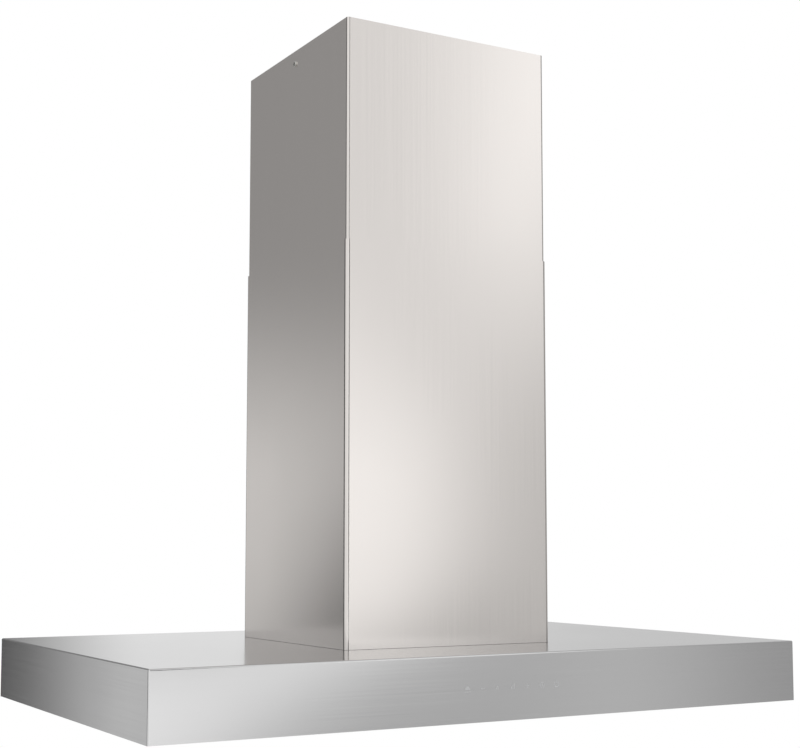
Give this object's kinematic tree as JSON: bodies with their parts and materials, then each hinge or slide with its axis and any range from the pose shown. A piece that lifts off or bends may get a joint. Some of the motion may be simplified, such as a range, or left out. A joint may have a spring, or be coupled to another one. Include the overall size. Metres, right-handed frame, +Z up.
{
  "type": "island range hood",
  "caption": "Ceiling-hung island range hood: flat steel canopy with baffle filters, light bars and touch row under a square telescopic flue with blower and damper.",
  "frame": {"origin": "middle of the ceiling plate's top face", "axes": "+Z up to the ceiling, -Y to the side with the touch controls, +X to the right of someone facing that side"},
  "size_m": [0.9, 0.575, 0.866],
  "materials": {
    "canopy_steel": "fine horizontal brushing",
    "flue_steel": "fine upright brushing",
    "frame_steel": "zinc coated",
    "bolt_steel": "plain zinc",
    "liner_steel": "satin",
    "blower_steel": "zinc coated",
    "scroll_plastic": "moulded, fine grain",
    "wheel_plastic": "moulded",
    "motor_metal": "plain",
    "shaft_steel": "ground",
    "capacitor_plastic": "moulded",
    "collar_plastic": "moulded",
    "damper_plastic": "moulded",
    "case_plastic": "moulded",
    "circuit_board": "lacquered laminate",
    "lamp_aluminium": "anodised",
    "lamp_diffuser": "opal",
    "filter_steel": "satin",
    "baffle_steel": "satin",
    "latch_steel": "polished"
  },
  "bodies": {
    "ceiling_frame": {"ceiling_plate": "frame_steel", "upper_flue": "flue_steel", "upper_post_rear_right": "frame_steel", "upper_post_rear_left": "frame_steel", "upper_post_front_left": "frame_steel", "upper_post_front_right": "frame_steel"},
    "hood": {"canopy_shell": "canopy_steel", "lower_flue": "flue_steel", "flue_locator": "frame_steel", "liner_brackets": "frame_steel", "lower_post_rear_right": "frame_steel", "lower_post_rear_left": "frame_steel", "lower_post_front_left": "frame_steel", "lower_post_front_right": "frame_steel", "clamp_bolts": "bolt_steel", "clamp_nuts": "bolt_steel", "liner": "liner_steel", "blower_box": "blower_steel", "junction_box": "blower_steel", "junction_lid": "blower_steel", "motor_bracket": "blower_steel", "scroll_left": "scroll_plastic", "scroll_right": "scroll_plastic", "motor": "motor_metal", "damper_pin": "shaft_steel", "capacitor": "capacitor_plastic", "outlet_collar": "collar_plastic", "control_case": "case_plastic", "control_lid": "case_plastic", "touch_housing": "case_plastic", "power_board": "circuit_board", "touch_board": "circuit_board", "lamp_housing_front": "lamp_aluminium", "lamp_housing_rear": "lamp_aluminium", "lamp_lens_front": "lamp_diffuser", "lamp_lens_rear": "lamp_diffuser"},
    "fan": {"fan_wheel": "wheel_plastic", "fan_rings": "wheel_plastic", "fan_blades": "wheel_plastic", "fan_shaft": "shaft_steel"},
    "damper_front": {"damper_flap_front": "damper_plastic"},
    "damper_rear": {"damper_flap_rear": "damper_plastic"},
    "filter_left": {"filter_left_frame": "filter_steel", "filter_left_lower_baffles": "baffle_steel", "filter_left_upper_baffles": "baffle_steel"},
    "filter_right": {"filter_right_frame": "filter_steel", "filter_right_lower_baffles": "baffle_steel", "filter_right_upper_baffles": "baffle_steel"},
    "latch_left": {"filter_left_latch": "latch_steel"},
    "latch_right": {"filter_right_latch": "latch_steel"}
  },
  "joints": [
    {"name": "height_slide", "type": "slide", "parent": "ceiling_frame", "child": "hood", "axis": [0, 0, 1], "range_m": [-0.12, 0.25]},
    {"name": "fan_spin", "type": "hinge", "parent": "hood", "child": "fan", "pos_m": [0, -0.05113, -0.66873], "axis": [1, 0, 0], "continuous": true},
    {"name": "damper_front_hinge", "type": "hinge", "parent": "hood", "child": "damper_front", "pos_m": [0, 0, -0.495], "axis": [-1, 0, 0], "range_deg": [0, 75]},
    {"name": "damper_rear_hinge", "type": "hinge", "parent": "hood", "child": "damper_rear", "pos_m": [0, 0, -0.495], "axis": [1, 0, 0], "range_deg": [0, 75]},
    {"name": "filter_left_hinge", "type": "hinge", "parent": "hood", "child": "filter_left", "pos_m": [0, 0.1899, -0.8527], "axis": [1, 0, 0], "range_deg": [0, 70]},
    {"name": "filter_right_hinge", "type": "hinge", "parent": "hood", "child": "filter_right", "pos_m": [0, 0.1899, -0.8527], "axis": [1, 0, 0], "range_deg": [0, 70]},
    {"name": "latch_left_slide", "type": "slide", "parent": "filter_left", "child": "latch_left", "axis": [0, 1, 0], "range_m": [0, 0.0055], "stiffness_N_per_m": 400, "springref_m": -0.002},
    {"name": "latch_right_slide", "type": "slide", "parent": "filter_right", "child": "latch_right", "axis": [0, 1, 0], "range_m": [0, 0.0055], "stiffness_N_per_m": 400, "springref_m": -0.002}
  ]
}
